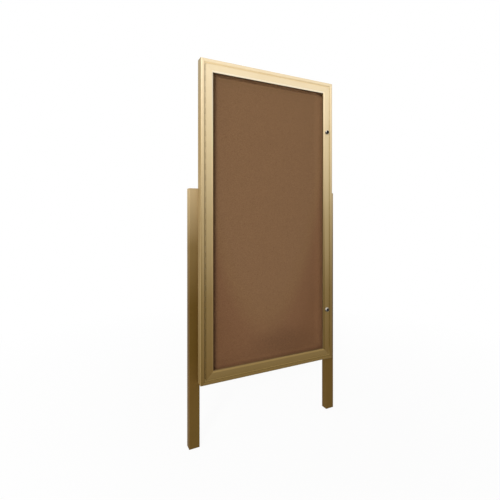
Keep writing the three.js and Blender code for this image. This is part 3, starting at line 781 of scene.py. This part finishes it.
def domedHead(name, size):
    # a domed head on the xy plane, with a small dimple in its middle, as a blind rivet leaves
    shape = bmesh.new()
    sides = size["sides"]
    turns = [2 * math.pi * i / sides for i in range(sides)]
    loops = []
    for outwards, up in headRings:
        r, z = outwards * size["radius"], up * size["height"]
        loops.append([shape.verts.new((r * math.cos(a), r * math.sin(a), z)) for a in turns])
    for lower, upper in zip(loops, loops[1:]):
        for i in range(sides):
            j = (i + 1) % sides
            shape.faces.new((lower[i], lower[j], upper[j], upper[i]))
    shape.faces.new(list(reversed(loops[0])))
    shape.faces.new(loops[-1])
    bmesh.ops.recalc_face_normals(shape, faces=shape.faces)
    mesh = bpy.data.meshes.new(name)
    shape.to_mesh(mesh)
    shape.free()
    head = bpy.data.objects.new(name, mesh)
    scene.collection.objects.link(head)
    return head


lineInputs = {
    "Head": "NodeSocketObject",
    "Start": "NodeSocketVector",
    "End": "NodeSocketVector",
    "Count": "NodeSocketInt",
    "Turn": "NodeSocketVector",
    "Finish": "NodeSocketMaterial",
}


def alongLineTree():
    # sets the head out along one straight line, turned to stand on its surface
    tree = bpy.data.node_groups.new("headsAlongLine", "GeometryNodeTree")
    face = tree.interface
    face.new_socket("Geometry", in_out="OUTPUT", socket_type="NodeSocketGeometry")
    for label, kind in lineInputs.items():
        face.new_socket(label, in_out="INPUT", socket_type=kind)
    source = tree.nodes.new("NodeGroupInput")
    sink = tree.nodes.new("NodeGroupOutput")
    line = tree.nodes.new("GeometryNodeMeshLine")
    line.mode = "END_POINTS"
    line.count_mode = "TOTAL"
    info = tree.nodes.new("GeometryNodeObjectInfo")
    place = tree.nodes.new("GeometryNodeInstanceOnPoints")
    turn = tree.nodes.new("FunctionNodeEulerToRotation")
    real = tree.nodes.new("GeometryNodeRealizeInstances")
    coat = tree.nodes.new("GeometryNodeSetMaterial")
    link = tree.links.new
    link(source.outputs["Start"], line.inputs["Start Location"])
    link(source.outputs["End"], line.inputs["Offset"])
    link(source.outputs["Count"], line.inputs["Count"])
    link(source.outputs["Head"], info.inputs["Object"])
    link(line.outputs[0], place.inputs["Points"])
    link(info.outputs["Geometry"], place.inputs["Instance"])
    link(source.outputs["Turn"], turn.inputs[0])
    link(turn.outputs[0], place.inputs["Rotation"])
    link(place.outputs[0], real.inputs[0])
    link(real.outputs[0], coat.inputs["Geometry"])
    link(source.outputs["Finish"], coat.inputs["Material"])
    link(coat.outputs[0], sink.inputs[0])
    return tree


lineTree = alongLineTree()
socketFor = {item.name: item.identifier for item in lineTree.interface.items_tree if item.in_out == "INPUT"}


def headsAlong(name, head, start, end, pitch, turn):
    count = max(2, round((Vector(end) - Vector(start)).length / pitch) + 1)
    holder = bpy.data.objects.new(name, bpy.data.meshes.new(name))
    scene.collection.objects.link(holder)
    modifier = holder.modifiers.new("heads", "NODES")
    modifier.node_group = lineTree
    for label, value in zip(lineInputs, (head, start, end, count, turn, plain["plainSteel"])):
        modifier[socketFor[label]] = value
    bpy.context.view_layer.update()
    mesh = bpy.data.meshes.new_from_object(holder.evaluated_get(bpy.context.evaluated_depsgraph_get()))
    bpy.data.objects.remove(holder)
    return mesh


def joinedPiece(name, meshes, body):
    shape = bmesh.new()
    for mesh in meshes:
        shape.from_mesh(mesh)
    whole = bpy.data.meshes.new(name)
    shape.to_mesh(whole)
    shape.free()
    whole.materials.append(meshes[0].materials[0])
    for face in whole.polygons:
        face.use_smooth = True
    piece = bpy.data.objects.new(name, whole)
    scene.collection.objects.link(piece)
    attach(piece, body)


def addRivets():
    head = domedHead("rivetHead", rivet)
    low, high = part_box("back_panel")
    _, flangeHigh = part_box("case_hinge_jamb")
    back = flangeHigh.y
    left, right = low.x + rivet["inset"], high.x - rivet["inset"]
    foot, top = low.z + rivet["inset"], high.z - rivet["inset"]
    firstUp, lastUp = foot + rivet["cornerGap"], top - rivet["cornerGap"]
    facingBack = (-math.pi / 2, 0, 0)
    lines = [
        ((left, back, foot), (right, back, foot)),
        ((left, back, top), (right, back, top)),
        ((left, back, firstUp), (left, back, lastUp)),
        ((right, back, firstUp), (right, back, lastUp)),
    ]
    meshes = [headsAlong("rivetLine", head, a, b, rivet["pitch"], facingBack) for a, b in lines]
    joinedPiece("backRivets", meshes, "case")
    bpy.data.objects.remove(head)


def addHingeScrews():
    head = domedHead("hingeHead", hingeScrew)
    for node, body, side in (("hinge_case_leaf", "case", 1), ("hinge_door_leaf", "door", -1)):
        low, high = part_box(node)
        face = low.x + hingeScrew["leaf"] if side > 0 else high.x - hingeScrew["leaf"]
        depth = high.y - hingeScrew["inset"]
        start = (face, depth, low.z + hingeScrew["endGap"])
        end = (face, depth, high.z - hingeScrew["endGap"])
        facingGap = (0, side * math.pi / 2, 0)
        mesh = headsAlong("screwLine", head, start, end, hingeScrew["pitch"], facingGap)
        joinedPiece(f"{body}HingeScrews", [mesh], body)
    bpy.data.objects.remove(head)


addRivets()
addHingeScrews()
print("fasteners set out")
